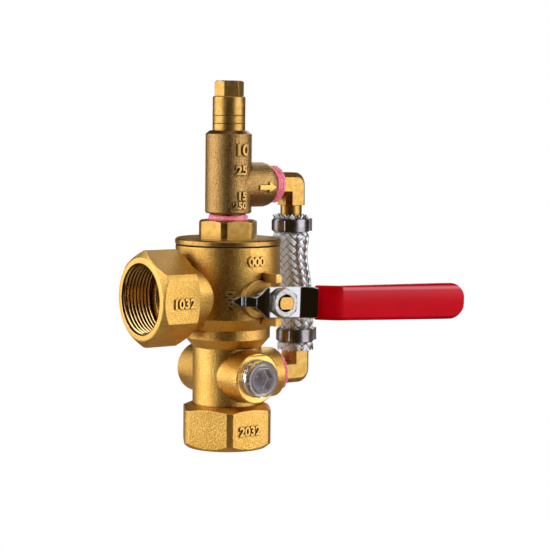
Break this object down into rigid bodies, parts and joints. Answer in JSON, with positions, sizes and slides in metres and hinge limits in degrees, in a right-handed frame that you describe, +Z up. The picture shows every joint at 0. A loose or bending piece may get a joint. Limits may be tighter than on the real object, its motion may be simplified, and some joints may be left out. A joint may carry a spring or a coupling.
{
  "type": "test and drain valve",
  "caption": "Three-way brass ball valve with a lever, sight glasses, threaded test and drain ports, and a relief valve piped past the ball by a braided hose.",
  "frame": {"origin": "centre of the drain port's mouth, on its end face", "axes": "+Z up along the valve's axis towards the relief valve, -X out of the test port, -Y towards the lever, +X towards the bypass hose"},
  "size_m": [0.1919, 0.1056, 0.218],
  "materials": {
    "cast_brass": "blasted satin",
    "turned_brass": "satin, turned",
    "relief_bronze": "darker antique satin",
    "ball_chrome": "polished plating",
    "lever_steel": "bright polished stainless",
    "nut_zinc": "pale zinc plating",
    "grip_vinyl": "glossy dipped vinyl",
    "plug_clear": "clear moulded",
    "white_ptfe": "waxy",
    "black_rubber": "matte",
    "sealant_pink": "dried paste",
    "spring_steel": "drawn wire",
    "braid_steel": "woven bright wire",
    "clamp_steel": "polished stainless strip"
  },
  "bodies": {
    "valve": {"valve_body": "cast_brass", "end_cap": "turned_brass", "end_cap_seal": "black_rubber", "seat_test_side": "white_ptfe", "seat_drain_side": "white_ptfe", "seat_top": "white_ptfe", "thrust_washer": "white_ptfe", "stem_packing": "white_ptfe", "gland_nut": "turned_brass", "sight_plug_front": "plug_clear", "sight_plug_rear": "plug_clear", "relief_body": "relief_bronze", "relief_spring": "spring_steel", "inlet_sealant": "sealant_pink", "upper_sealant": "sealant_pink", "lower_sealant": "sealant_pink", "upper_elbow": "turned_brass", "lower_elbow": "turned_brass", "hose_tube": "black_rubber", "hose_braid": "braid_steel", "upper_clamp": "clamp_steel", "lower_clamp": "clamp_steel"},
    "lever_and_ball": {"ball": "ball_chrome", "test_orifice": "turned_brass", "stem": "turned_brass", "lever": "lever_steel", "lever_grip": "grip_vinyl", "stem_washer": "nut_zinc", "stem_nut": "nut_zinc"},
    "poppet": {"relief_poppet": "turned_brass", "poppet_seal": "black_rubber"},
    "button": {"spring_button": "turned_brass"},
    "cap": {"adjusting_cap": "relief_bronze", "cap_oring": "black_rubber"}
  },
  "joints": [
    {"name": "lever_turn", "type": "hinge", "parent": "valve", "child": "lever_and_ball", "pos_m": [0, 0, 0.091], "axis": [0, 1, 0], "range_deg": [-92, 88]},
    {"name": "relief_lift", "type": "slide", "parent": "valve", "child": "poppet", "axis": [0, 0, 1], "range_m": [0, 0.003], "stiffness_N_per_m": 500, "springref_m": -0.004, "deforming": ["relief_spring"]},
    {"name": "button_travel", "type": "slide", "parent": "valve", "child": "button", "axis": [0, 0, 1], "range_m": [-0.0015, 0.0015], "deforming": ["relief_spring"]},
    {"name": "cap_turn", "type": "hinge", "parent": "button", "child": "cap", "pos_m": [0, 0, 0.2], "axis": [0, 0, 1], "range_deg": [-361, 361]}
  ],
  "couplings": [
    {"joint": "cap_turn", "follows": "button_travel", "rad_per_m": 4188.8}
  ]
}
